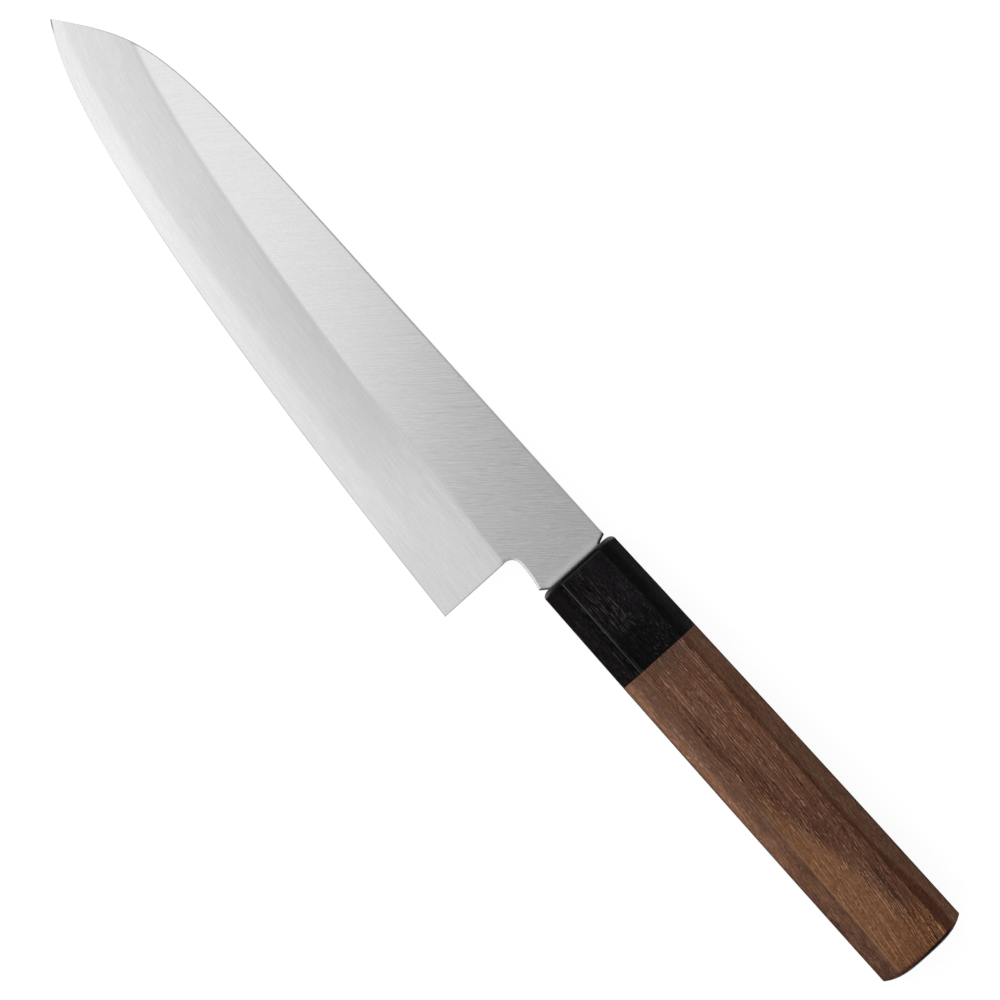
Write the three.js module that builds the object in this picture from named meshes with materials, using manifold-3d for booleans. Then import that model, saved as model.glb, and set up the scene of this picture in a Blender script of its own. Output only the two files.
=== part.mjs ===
// A gyuto, the Japanese cook's knife: a laminated blade with wide ground bevels on an octagonal handle.
// Millimetres. The knife lies on its right side: tip to -X, butt to +X, spine to +Y, left face up to +Z.
// While it is modelled, the ferrule's front face is at x = 0 and the handle's axis runs along y = 0, z = 0.
import * as THREE from 'three';
import { mergeVertices } from 'three/addons/utils/BufferGeometryUtils.js';
import Module from 'manifold-3d';

// Blade outline
const bladeLength = 180; // tip to heel
const heelHeight = 44.1; // edge to spine at the heel
const spineRise = 10.5; // spine above the handle's axis
const tipDrop = 17.1; // tip below the spine
const spineDropLength = 119; // stretch of spine that curves down to the tip
const tipSpineAngle = 37; // degrees, spine at the tip
const tipEdgeAngle = 31; // degrees, edge at the tip
const heelEdgeAngle = 3.3; // degrees, edge at the heel
const tipBlunt = 0.25; // length ground off the very point
const edgeTipPull = 0.071; // how far the edge keeps its tip angle, as a share of the blade
const edgeHeelPull = 0.81; // how far the edge keeps its heel angle, as a share of the blade
const spineTipPull = 0.24; // how far the spine keeps its tip angle, as a share of its drop
const spineFlatPull = 0.81; // how far the spine stays level, as a share of its drop

// Neck between heel and ferrule
const neckLength = 11.9; // heel to ferrule
const neckHeight = 20.9; // at the choil
const shoulderHeight = 22; // at the ferrule
const choilRadius = 2.8; // inner corner behind the heel
const neckLevel = 0.55; // share of the neck's underside that stays level before it turns down
const shoulderEase = 1.1; // length of the eased rear edge
const shoulderSpineEase = 2.4; // height taken off the rear corner of the spine
const shoulderHeelEase = 0.7; // height taken off the rear corner below
const shoulderFaceEase = 0.35; // thickness taken off each face at the rear

// Blade thickness and grind
const spineThickness = 3.2; // at the ferrule
const tipThickness = 1.5; // the same flats, carried on to the tip
const flatTaper = 0.6; // degrees, each flat leans in towards the edge
const bevelHeight = 19.8; // edge to bevel line
const edgeAngle = 3.8; // degrees, each bevel at the edge
const edgeLand = 0.12; // width of the edge itself
const spineEase = 0.4; // chamfer along both corners of the spine
const coreThickness = 0.8; // hard centre layer

// Stick tang
const tangLength = 92;
const tangWidth = 10; // at the shoulder
const tangEndWidth = 5;
const tangThickness = 2.6;
const tangPoint = 4; // length of the pointed end

// Handle
const ferruleLength = 31.7;
const bodyLength = 101.9;
const frontHeight = 23.9;
const buttHeight = 26.2;
const frontThickness = 19.4;
const buttThickness = 21.6;
const heightSwell = 1.7; // power of the taper seen from the side, 1 would be straight
const frontSpineFacet = 4.9; // corner facets, measured along the height
const buttSpineFacet = 5.4;
const frontEdgeFacet = 5.85;
const buttEdgeFacet = 4.5;
const facetDepth = 5; // corner facets, measured along the thickness
const ferruleRound = 1.8; // rounded front rim, along the axis
const ferruleInset = 1.6; // the same, in from the sides
const buttCrown = 3.1; // fall of the domed end at its top and bottom edges
const buttEase = 0.7; // fall of the domed end at its flat sides
const domePower = 4; // the dome is nearly flat in the middle and falls towards its rim

// Joint between ferrule, body and tang
const tenonDiameter = 16;
const tenonLength = 18;
const boreDiameter = 12;
const boreEndRoom = 3; // bore past the end of the tang
const glueGap = 0.3; // play of each joint
const slotPlay = 0.4; // play of the tang in the ferrule's slot

// Mesh fineness
const bladeStations = 34;
const stationCrowding = 1.6; // above 1, the stations crowd towards the tip
const curveHalvings = 40; // steps in finding a curve's height
const leastFlat = 0.03; // share of a tip section that is left above its bevel
const bevelSteps = 5;
const choilSteps = 8;
const handleStations = 4;
const roundSteps = 3;
const domeRings = [0.94, 0.86, 0.74, 0.56, 0.3];
const boreSides = 32;

// Places that follow from the sizes
const heelX = -neckLength;
const tipX = heelX - bladeLength;
const shoulderX = -glueGap;
const heelY = spineRise - heelHeight;
const tipY = spineRise - tipDrop;
const buttX = ferruleLength + bodyLength;
const tenonX = ferruleLength - tenonLength;
const boreEndX = tangLength + boreEndRoom;
const coreHalf = coreThickness / 2;
const farOut = heelHeight + bladeLength; // clear of the whole knife

const radians = THREE.MathUtils.degToRad;
const mix = THREE.MathUtils.lerp;

const wasm = await Module();
wasm.setup();

// A closed three.js geometry as a solid that can be cut and joined.
function solidOf(geometry) {
  const shell = geometry.clone();
  shell.deleteAttribute('normal');
  shell.deleteAttribute('uv');
  const merged = mergeVertices(shell);
  return new wasm.Manifold(new wasm.Mesh({
    numProp: 3,
    vertProperties: merged.getAttribute('position').array,
    triVerts: Uint32Array.from(merged.index.array),
  }));
}

// A finished solid as a named mesh.
function meshOf(name, solid, color, roughness, metalness) {
  const { vertProperties, triVerts } = solid.getMesh();
  const geometry = new THREE.BufferGeometry();
  geometry.setAttribute('position', new THREE.BufferAttribute(vertProperties, 3));
  geometry.setIndex(new THREE.BufferAttribute(triVerts, 1));
  geometry.computeVertexNormals();
  const mesh = new THREE.Mesh(geometry, new THREE.MeshStandardMaterial({ color, roughness, metalness }));
  mesh.name = name;
  return mesh;
}

// A solid through rings of points, each ring counter-clockwise seen from the butt, from tip to butt.
function loft(rings) {
  const count = rings[0].length;
  const points = rings.flat();
  const triangles = [];
  for (let ring = 0; ring < rings.length - 1; ring++) {
    for (let i = 0; i < count; i++) {
      const a = ring * count + i;
      const b = ring * count + (i + 1) % count;
      triangles.push(a, b, a + count, b, b + count, a + count);
    }
  }
  const last = (rings.length - 1) * count;
  for (let i = 1; i < count - 1; i++) {
    triangles.push(0, i + 1, i, last, last + i, last + i + 1);
  }
  const geometry = new THREE.BufferGeometry().setFromPoints(points);
  geometry.setIndex(triangles);
  return solidOf(geometry);
}

// A plate of a flat outline, centred on the blade's plane.
function plate(shape, thickness, curveSegments) {
  const geometry = new THREE.ExtrudeGeometry(shape, { depth: thickness, bevelEnabled: false, curveSegments });
  return solidOf(geometry.translate(0, 0, -thickness / 2));
}

// A round bar along the handle's axis.
function bar(diameter, startX, endX) {
  const geometry = new THREE.CylinderGeometry(diameter / 2, diameter / 2, endX - startX, boreSides);
  return solidOf(geometry.rotateZ(-Math.PI / 2).translate((startX + endX) / 2, 0, 0));
}

// A slab across the whole knife between two heights.
function slab(lowZ, highZ) {
  const geometry = new THREE.BoxGeometry(2 * farOut, 2 * farOut, highZ - lowZ);
  return solidOf(geometry.translate(0, 0, (lowZ + highZ) / 2));
}

// Edge and spine as curves from the tip back
const tip = new THREE.Vector2(tipX, tipY);
const heel = new THREE.Vector2(heelX, heelY);
const spineStart = new THREE.Vector2(tipX + spineDropLength, spineRise);

function along(point, degrees, length) {
  const angle = radians(degrees);
  return new THREE.Vector2(point.x + length * Math.cos(angle), point.y + length * Math.sin(angle));
}

const edgeCurve = new THREE.CubicBezierCurve(
  tip,
  along(tip, -tipEdgeAngle, edgeTipPull * bladeLength),
  along(heel, 180 - heelEdgeAngle, edgeHeelPull * bladeLength),
  heel,
);
const spineCurve = new THREE.CubicBezierCurve(
  tip,
  along(tip, tipSpineAngle, spineTipPull * spineDropLength),
  along(spineStart, 180, spineFlatPull * spineDropLength),
  spineStart,
);

// Height of a curve at a station, held level past the curve's ends.
function heightAt(curve, x) {
  let low = 0;
  let high = 1;
  for (let step = 0; step < curveHalvings; step++) {
    const middle = (low + high) / 2;
    if (curve.getPoint(middle).x < x) low = middle;
    else high = middle;
  }
  return curve.getPoint(low).y;
}

// Half the thickness of the blade's flat, which tapers to the tip and leans in towards the edge.
function flatHalf(x, y) {
  const atSpine = mix(spineThickness, tipThickness, x / tipX) / 2;
  return atSpine - (spineRise - y) * Math.tan(radians(flatTaper));
}

// Half the thickness of the bevel: it leaves the edge at one angle and curves in to meet the flat.
function bevelHalf(x, edgeY, rise) {
  const straight = edgeLand / 2 + rise * Math.tan(radians(edgeAngle));
  const straightAtLine = edgeLand / 2 + bevelHeight * Math.tan(radians(edgeAngle));
  const excess = straightAtLine - flatHalf(x, edgeY + bevelHeight);
  return straight - excess * (rise / bevelHeight) ** 2;
}

// One section of the blade. At the eased rear edge the corners and faces are taken back.
function bladeRing(x, eased) {
  const edgeY = heightAt(edgeCurve, x);
  const spineY = heightAt(spineCurve, x) - (eased ? shoulderSpineEase : 0);
  const half = (rise) => (rise < bevelHeight ? bevelHalf(x, edgeY, rise) : flatHalf(x, edgeY + rise));
  const fullRise = spineY - edgeY;
  const corner = Math.min(spineEase, half(fullRise) / 3, fullRise / 3);
  const flatTop = fullRise - corner;
  const bevelTop = Math.min(bevelHeight, (1 - leastFlat) * flatTop);
  const side = [];
  for (let step = 0; step <= bevelSteps; step++) {
    const rise = bevelTop * step / bevelSteps;
    side.push([edgeY + rise, half(rise)]);
  }
  side.push([edgeY + flatTop, half(flatTop)]);
  side.push([spineY, half(fullRise) - corner]);
  const faceEase = eased ? shoulderFaceEase : 0;
  const left = side.map(([y, z]) => new THREE.Vector3(x, y, Math.max(z - faceEase, edgeLand / 2)));
  const right = left.map((point) => new THREE.Vector3(point.x, point.y, -point.z));
  return [...left.reverse(), ...right];
}

function bladeRings() {
  const rings = [];
  for (let station = 0; station <= bladeStations; station++) {
    const share = (station / bladeStations) ** stationCrowding;
    rings.push(bladeRing(mix(tipX + tipBlunt, heelX, share), false));
  }
  rings.push(bladeRing(shoulderX - shoulderEase, false));
  rings.push(bladeRing(shoulderX, true));
  return rings;
}

// What is ground away behind the heel: straight up from the heel, round the choil, then along the neck.
function choilCut() {
  const choilY = spineRise - neckHeight;
  const cornerX = shoulderX - shoulderEase;
  const cornerY = spineRise - shoulderHeight;
  const shape = new THREE.Shape();
  shape.moveTo(heelX, heelY - farOut);
  shape.lineTo(heelX, choilY - choilRadius);
  shape.absarc(heelX + choilRadius, choilY - choilRadius, choilRadius, Math.PI, Math.PI / 2, true);
  shape.quadraticCurveTo(mix(heelX + choilRadius, cornerX, neckLevel), choilY, cornerX, cornerY);
  shape.lineTo(shoulderX, cornerY + shoulderHeelEase);
  shape.lineTo(shoulderX + shoulderEase, cornerY + shoulderHeelEase);
  shape.lineTo(shoulderX + shoulderEase, heelY - farOut);
  return plate(shape, farOut, choilSteps);
}

// The tang, or the room for it with some play all round. It starts inside the blade or in front of it.
function tang(startX, play) {
  const endX = tangLength + play;
  const halfAt = (x) => mix(tangWidth, tangEndWidth, x / tangLength) / 2 + play;
  const pointX = endX - tangPoint;
  const shape = new THREE.Shape();
  shape.moveTo(startX, -halfAt(startX));
  shape.lineTo(pointX, -halfAt(pointX));
  shape.lineTo(endX, -halfAt(pointX) / 2);
  shape.lineTo(endX, halfAt(pointX) / 2);
  shape.lineTo(pointX, halfAt(pointX));
  shape.lineTo(startX, halfAt(startX));
  return plate(shape, tangThickness + 2 * play, 1);
}

// The blade is forged as one bar of three layers, so the core and both claddings share its ground outside.
const forged = loft(bladeRings()).subtract(choilCut()).add(tang(shoulderX - shoulderEase, 0));
const coreSolid = forged.intersect(slab(-coreHalf, coreHalf));
const leftSolid = forged.intersect(slab(coreHalf, farOut));
const rightSolid = forged.intersect(slab(-farOut, -coreHalf));

// One octagonal section of the handle, taken in from its sides by an inset.
function handleRing(x, inset) {
  const share = x / buttX;
  const height = mix(frontHeight, buttHeight, 1 - (1 - share) ** heightSwell) / 2 - inset;
  const depth = mix(frontThickness, buttThickness, share) / 2 - inset;
  const shrink = inset * (2 - Math.SQRT2);
  const spineFacet = mix(frontSpineFacet, buttSpineFacet, share) - shrink;
  const edgeFacet = mix(frontEdgeFacet, buttEdgeFacet, share) - shrink;
  const sideDepth = depth - facetDepth + shrink;
  const outline = [
    [height, -sideDepth], [height, sideDepth],
    [height - spineFacet, depth], [edgeFacet - height, depth],
    [-height, sideDepth], [-height, -sideDepth],
    [edgeFacet - height, -depth], [height - spineFacet, -depth],
  ];
  return outline.map(([y, z]) => new THREE.Vector3(x, y, z));
}

function ferruleSolid() {
  const rings = [];
  for (let step = 0; step <= roundSteps; step++) {
    const angle = Math.PI / 2 * step / roundSteps;
    rings.push(handleRing(ferruleRound * (1 - Math.cos(angle)), ferruleInset * (1 - Math.sin(angle))));
  }
  rings.push(handleRing((ferruleRound + ferruleLength) / 2, 0));
  rings.push(handleRing(ferruleLength, 0));
  const socketX = tenonX - glueGap;
  const socket = bar(tenonDiameter + 2 * glueGap, socketX, ferruleLength + tenonLength);
  return loft(rings).subtract(socket).subtract(tang(shoulderX - shoulderEase, slotPlay));
}

// The butt is domed: it falls away slowly at first and faster towards its rim.
function domed(point) {
  const overHeight = Math.abs(point.y) / (buttHeight / 2);
  const overDepth = Math.abs(point.z) / (buttThickness / 2);
  const fall = buttCrown * overHeight ** domePower + buttEase * overDepth ** domePower;
  return new THREE.Vector3(buttX - fall, point.y, point.z);
}

function bodySolid() {
  const rings = [];
  for (let station = 0; station < handleStations; station++) {
    rings.push(handleRing(mix(ferruleLength, buttX, station / handleStations), 0));
  }
  const rim = handleRing(buttX, 0);
  rings.push(rim.map(domed));
  for (const share of domeRings) {
    rings.push(rim.map((point) => domed(point.clone().multiplyScalar(share))));
  }
  const tenon = bar(tenonDiameter, tenonX, ferruleLength + tenonLength);
  const bore = bar(boreDiameter, tenonX - tenonLength, boreEndX);
  return loft(rings).add(tenon).subtract(bore);
}

// The resin fills the bore round the tang and past its end.
function adhesiveSolid() {
  const filling = bar(boreDiameter - 2 * glueGap, tenonX, boreEndX - glueGap);
  return filling.subtract(tang(tenonX - tenonLength, glueGap));
}

const blade = new THREE.Group();
blade.add(
  meshOf('core_steel', coreSolid, 0xd9dad8, 0.32, 1),
  meshOf('left_cladding', leftSolid, 0xb8b9b8, 0.42, 1),
  meshOf('right_cladding', rightSolid, 0xb8b9b8, 0.42, 1),
);

const handle = new THREE.Group();
handle.add(
  meshOf('ferrule', ferruleSolid(), 0x161416, 0.38, 0),
  meshOf('handle_body', bodySolid(), 0x6c4a32, 0.55, 0),
  meshOf('tang_adhesive', adhesiveSolid(), 0xb79a5e, 0.5, 0),
);

// The origin is the middle of the footprint, on the surface that the knife lies on.
const knife = new THREE.Group();
knife.add(blade, handle);
const bounds = new THREE.Box3().setFromObject(knife);
const middle = bounds.getCenter(new THREE.Vector3());
knife.position.set(-middle.x, -middle.y, -bounds.min.z);

const part = new THREE.Group();
part.add(knife);

export default part;
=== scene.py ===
import math

import bpy
import numpy as np
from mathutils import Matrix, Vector


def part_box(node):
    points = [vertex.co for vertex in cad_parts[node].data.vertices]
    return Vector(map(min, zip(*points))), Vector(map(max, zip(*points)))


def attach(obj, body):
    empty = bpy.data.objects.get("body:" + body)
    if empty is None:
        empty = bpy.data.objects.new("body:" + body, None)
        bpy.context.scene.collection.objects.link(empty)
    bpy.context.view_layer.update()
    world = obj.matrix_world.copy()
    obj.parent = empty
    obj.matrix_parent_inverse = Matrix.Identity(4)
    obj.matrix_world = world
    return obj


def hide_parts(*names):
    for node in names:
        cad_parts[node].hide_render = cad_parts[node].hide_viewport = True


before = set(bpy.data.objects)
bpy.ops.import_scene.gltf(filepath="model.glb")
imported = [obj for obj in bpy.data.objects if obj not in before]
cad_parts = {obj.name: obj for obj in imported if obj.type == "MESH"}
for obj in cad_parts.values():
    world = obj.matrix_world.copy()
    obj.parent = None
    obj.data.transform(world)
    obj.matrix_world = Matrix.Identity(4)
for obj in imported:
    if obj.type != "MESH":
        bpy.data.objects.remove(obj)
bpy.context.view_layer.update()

# Core steel
# The hard middle layer of a forged three-layer bar. The grind lays it bare as the bright band along the
# edge, and it shows as a thin stripe down the spine and behind the heel. Its tail is the middle of the tang.
mm = 0.001
ferrule_low, ferrule_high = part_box("ferrule")
core_low, core_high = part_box("core_steel")
ferrule_front = ferrule_low.x
axis_y = (ferrule_low.y + ferrule_high.y) / 2
blade_z = (core_low.z + core_high.z) / 2
# Everything below is drawn from the middle of the ferrule's front face, in metres, and moved there last.
knife_place = np.array([ferrule_front, axis_y, blade_z])

# Grinding and polishing take a hair off the forged outline.
ground_away = 0.2 * mm
spine_y = core_high.y - axis_y - ground_away
heel_y = core_low.y - axis_y
core_half = (core_high.z - core_low.z) / 2
tang_end = core_high.x - ferrule_front
neck_length = 11.9 * mm
blade_length = 180 * mm - 2 * ground_away
heel_x = -neck_length
tip_x = heel_x - blade_length
tip_y = spine_y - 16.85 * mm
tip_blunt = 0.25 * mm
spine_drop_length = 119 * mm
curve_points = 600


def bezier(start, start_angle, start_pull, end, end_angle, end_pull):
    """Points of a curve that leaves start and reaches end at given angles, in degrees from +X."""
    turn = np.radians([start_angle, end_angle])
    p0 = np.array(start)
    p3 = np.array(end)
    p1 = p0 + start_pull * np.array([np.cos(turn[0]), np.sin(turn[0])])
    p2 = p3 - end_pull * np.array([np.cos(turn[1]), np.sin(turn[1])])
    t = np.linspace(0, 1, curve_points)[:, None]
    return (1 - t) ** 3 * p0 + 3 * (1 - t) ** 2 * t * p1 + 3 * (1 - t) * t ** 2 * p2 + t ** 3 * p3


tip = (tip_x, tip_y)
edge_tip_angle = -31
edge_tip_pull = 0.071 * blade_length
edge_heel_angle = -3.4
edge_heel_pull = 0.81 * blade_length
edge_curve = bezier(tip, edge_tip_angle, edge_tip_pull, (heel_x, heel_y), edge_heel_angle, edge_heel_pull)
spine_level = (tip_x + spine_drop_length, spine_y)
spine_tip_angle = 37
spine_tip_pull = 0.24 * spine_drop_length
spine_level_pull = 0.81 * spine_drop_length
spine_curve = bezier(tip, spine_tip_angle, spine_tip_pull, spine_level, 0, spine_level_pull)


def edge_at(x):
    return np.interp(x, edge_curve[:, 0], edge_curve[:, 1])


def spine_at(x):
    return np.interp(x, spine_curve[:, 0], spine_curve[:, 1])


spine_thickness = 3.2 * mm
tip_thickness = 1.5 * mm
flat_lean = math.tan(math.radians(0.6))
bevel_height = 19.8 * mm
edge_slope = math.tan(math.radians(3.8))
edge_half = 0.06 * mm


def flat_half(x, y):
    """Half the thickness of the blade's flat, which thins towards the tip and the edge."""
    at_spine = (spine_thickness + (tip_thickness - spine_thickness) * x / tip_x) / 2
    return at_spine - (spine_y - y) * flat_lean


def ground_half(x, y):
    """Half the thickness of the ground blade: the convex bevel up to its line, the flat above."""
    edge_y = edge_at(x)
    rise = y - edge_y
    straight = edge_half + rise * edge_slope
    excess = edge_half + bevel_height * edge_slope - flat_half(x, edge_y + bevel_height)
    bevel = straight - excess * (rise / bevel_height) ** 2
    return np.where(rise < bevel_height, bevel, flat_half(x, y))


# The weld between core and cladding is not quite even, so its line on the bevel wanders a little.
weld_waves = [(61 * mm, 0.006 * mm, 0.4), (23 * mm, 0.005 * mm, 1.9), (9.7 * mm, 0.003 * mm, 4.1)]
weld_halvings = 30


def weld_half(x):
    height = np.full_like(x, core_half)
    for length, depth, phase in weld_waves:
        height = height + depth * np.sin(2 * math.pi * x / length + phase)
    return height


def reveal_at(x):
    """Rise above the edge at which the weld meets the bevel."""
    edge_y = edge_at(x)
    low = np.zeros_like(x)
    high = np.full_like(x, bevel_height)
    for _ in range(weld_halvings):
        middle = (low + high) / 2
        inside = ground_half(x, edge_y + middle) < weld_half(x)
        low = np.where(inside, middle, low)
        high = np.where(inside, high, middle)
    return (low + high) / 2


ferrule_start = 0.5 * mm
shoulder_gap = 0.06 * mm
shoulder_x = ferrule_start - shoulder_gap
shoulder_ease = 1.0 * mm
shoulder_drop = 2.4 * mm
choil_radius = 2.8 * mm
choil_y = spine_y - 20.75 * mm
corner_x = shoulder_x - shoulder_ease
low_corner_x = -0.9 * mm
low_corner_y = spine_y - 21.75 * mm
low_corner_slope = 1.4
neck_turn_share = 0.55
neck_turn_x = heel_x + choil_radius + neck_turn_share * (low_corner_x - heel_x - choil_radius)


def neck_low_at(x):
    """Underside of the neck: round the choil, then level, then down to the rear corner and up its ease."""
    start = heel_x + choil_radius
    arc = choil_y - choil_radius + np.sqrt(np.maximum(choil_radius ** 2 - (x - start) ** 2, 0))
    a = start - 2 * neck_turn_x + low_corner_x
    b = 2 * (neck_turn_x - start)
    share = (-b + np.sqrt(np.maximum(b * b - 4 * a * (start - x), 0))) / (2 * a)
    run = choil_y + (low_corner_y - choil_y) * share ** 2
    cut = low_corner_y + low_corner_slope * (x - low_corner_x)
    return np.where(x < start, arc, np.where(x < low_corner_x, run, cut))


def neck_high_at(x):
    return spine_y - shoulder_drop * np.clip((x - corner_x) / shoulder_ease, 0, 1)


# Columns of points run along the blade, rows from the edge up to the spine. The rows above the choil go on
# along the neck, and those within the tang's width go on along the tang. Columns crowd at the tip, the heel
# and the corners.
tip_count = 250
tip_crowding = 1.5
tip_shares = (np.arange(tip_count) / tip_count) ** tip_crowding
tip_columns = tip_x + tip_blunt + (blade_length - tip_blunt) * tip_shares
heel_columns = heel_x - np.array([0.3, 0.16, 0.08, 0.03, 0]) * mm
blade_columns = np.concatenate([tip_columns[tip_columns < heel_columns[0] - 0.3 * mm], heel_columns])
arc_columns = heel_x + choil_radius * (1 - np.cos(np.radians(np.linspace(0, 90, 15)[1:])))
run_columns = np.linspace(arc_columns[-1], low_corner_x - 0.3 * mm, 12)[1:]
corner_columns = np.linspace(low_corner_x - 0.15 * mm, corner_x, 5)
ease_columns = corner_x + shoulder_ease * np.array([0.08, 0.2, 0.4, 0.6, 0.8, 0.9, 1])
neck_columns = np.concatenate([arc_columns, run_columns, corner_columns, ease_columns])

spine_ease = 0.25 * mm
choil_line = choil_y - choil_radius - heel_y
tang_half_width = 5 * mm
tang_end_half_width = 2.5 * mm
tang_half = 1.05 * mm
tang_point = 4 * mm
tang_row_count = 14
shoulder_low = neck_low_at(np.array([shoulder_x]))[0]
shoulder_high = neck_high_at(np.array([shoulder_x]))[0]
tang_sides = np.array([-tang_half_width, tang_half_width])
tang_shares = (tang_sides - shoulder_low) / (shoulder_high - spine_ease - shoulder_low)
low_shares = np.array([0, 0.004, 0.01, 0.02, 0.035, 0.06, 0.1, 0.16, 0.24])
flat_shares = np.concatenate([
    low_shares,
    np.linspace(tang_shares[0], tang_shares[1], tang_row_count),
    [0.9, 0.95, 0.98, 1],
])
ease_shares = np.array([0.25, 0.5, 0.75, 0.92, 1])
reveal_rows = 10
bevel_rows = 18
# Rows take at most these shares of the height that is left to them, which runs out towards the tip.
ease_limit = 0.25
bevel_limit = 0.9
choil_limit = 0.5


def spread(low, high, shares):
    """Rows between two heights for every column."""
    return low[:, None] + (high - low)[:, None] * shares[None, :]


def blade_rows():
    """Heights of the blade's rows. They squeeze together towards the tip, where the full height runs out."""
    x = blade_columns
    edge_y = edge_at(x)
    full = spine_at(x) - edge_y
    flat_top = full - np.minimum(spine_ease, ease_limit * full)
    reveal = np.minimum(reveal_at(x), bevel_limit * flat_top)
    bevel = np.minimum(bevel_height, reveal + bevel_limit * (flat_top - reveal))
    choil = np.minimum(choil_line, bevel + choil_limit * (flat_top - bevel))
    rows = np.hstack([
        spread(0 * x, reveal, np.arange(reveal_rows) / reveal_rows),
        spread(reveal, bevel, np.arange(bevel_rows) / bevel_rows),
        bevel[:, None],
        spread(choil, flat_top, flat_shares),
        spread(flat_top, full, ease_shares),
    ])
    return edge_y[:, None] + rows


def neck_rows():
    low = neck_low_at(neck_columns)
    high = neck_high_at(neck_columns)
    flat_top = high - spine_ease
    return np.hstack([spread(low, flat_top, flat_shares), spread(flat_top, high, ease_shares)])


choil_row = reveal_rows + bevel_rows + 1
first_tang_row = len(low_shares)
past_tang_row = first_tang_row + tang_row_count
tang_run = np.linspace(4 * mm, tang_end - tang_point, 12)
tang_columns = np.concatenate([[shoulder_x + 0.2 * mm], tang_run, [tang_end]])


def tang_heights():
    half = tang_half_width + (tang_end_half_width - tang_half_width) * tang_columns / tang_end
    half[-1] = half[-2] / 2
    return half[:, None] * np.linspace(-1, 1, tang_row_count)[None, :]


def blade_side():
    """The blade's upper surface: places and rows of its points, its faces, and where each part ends."""
    grids = [blade_rows(), neck_rows(), tang_heights()]
    columns = [blade_columns, neck_columns, tang_columns]
    first_rows = [0, choil_row, choil_row + first_tang_row]
    x = np.concatenate([np.repeat(places, grid.shape[1]) for places, grid in zip(columns, grids)])
    y = np.concatenate([grid.ravel() for grid in grids])
    row = np.concatenate([np.tile(first + np.arange(grid.shape[1]), grid.shape[0])
                          for first, grid in zip(first_rows, grids)])
    ends = np.cumsum([grid.size for grid in grids])
    number = [np.arange(end - grid.size, end).reshape(grid.shape) for end, grid in zip(ends, grids)]
    neck_grid = np.vstack([number[0][-1, choil_row:], number[1]])
    tang_grid = np.vstack([number[1][-1, first_tang_row:past_tang_row], number[2]])
    faces = []
    for grid in (number[0], neck_grid, tang_grid):
        corners = [grid[:-1, :-1], grid[1:, :-1], grid[1:, 1:], grid[:-1, 1:]]
        faces.append(np.stack([c.ravel() for c in corners], axis=1))
    return x, y, row, np.vstack(faces), ends[0], ends[1]


side_x, side_y, side_row, side_faces, blade_end, neck_end = blade_side()
on_blade = np.arange(len(side_x)) < blade_end
side_rise = side_y - np.where(on_blade, edge_at(side_x), heel_y)
outline_top = np.where(on_blade, spine_at(side_x), neck_high_at(side_x))
below_top = outline_top - side_y
neck_ease = 0.35 * mm
heel_ease = 0.2 * mm
face_ease = 0.03 * mm
thinnest_room = 0.05 * mm
crisp_spine = 0.4
crisp_stretch = [-95 * mm, -60 * mm]
room_share = 0.7
in_choil = (side_x < heel_x + choil_radius) & (side_y > choil_y - choil_radius)
at_heel = on_blade & (side_y < choil_y - choil_radius)
# The bevel line runs out into the falling spine at this place.
spine_rise = spine_curve[:, 1] - edge_at(spine_curve[:, 0])
meeting_x = np.interp(bevel_height, spine_rise, spine_curve[:, 0])


def rounded(distance, radius):
    """How far a rounded corner has fallen at a distance in from its edge."""
    inward = np.clip(1 - distance / radius, 0, 1)
    return radius * (1 - np.sqrt(1 - inward ** 2))


def outline_ease():
    """How far the surface is rounded down at the spine, the heel, the neck's underside and the rear edge."""
    room = np.maximum(ground_half(side_x, side_y) - core_half, thinnest_room)
    radius = np.minimum(spine_ease, room_share * room) * np.interp(side_x, crisp_stretch, [1, crisp_spine])
    fall = rounded(below_top, spine_ease) * radius / spine_ease
    fall = np.where(at_heel, np.maximum(fall, rounded(heel_x - side_x, heel_ease) / 2), fall)
    arc_x = heel_x + choil_radius
    from_arc = np.hypot(side_x - arc_x, side_y - choil_y + choil_radius) - choil_radius
    from_neck = np.where(side_x < arc_x, np.where(in_choil, from_arc, 1), side_y - neck_low_at(side_x))
    near_neck = side_x > heel_x - neck_ease
    fall = np.where(near_neck, np.maximum(fall, rounded(from_neck, neck_ease)), fall)
    back = np.clip((side_x - corner_x) / shoulder_ease, 0, 1)
    return fall + face_ease * back ** 4


def within(distance, reach, fullness=1):
    """One at no distance, falling to nought at the reach. More fullness keeps it at one for longer."""
    return np.clip(fullness * (1 - distance / reach), 0, 1)


# Painted shade along the outline: its strength along the spine, and its size where the bevel line ends, at
# the tip and at the rear corners.
spine_shade_places = tip_x + np.array([30, 60, 85, 105, 120]) * mm
spine_shade_strengths = [0, 0.18, 0.16, 0.02, 0]
meeting_shade_length = 1.5 * mm
meeting_shade_width = 0.9 * mm
tip_shade_length = 3.96 * mm
tip_shade_width = 0.45 * mm
upper_shade_width = 0.85 * mm
lower_shade_width = 0.7 * mm
lower_shade_reach = 2.2 * mm


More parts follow.
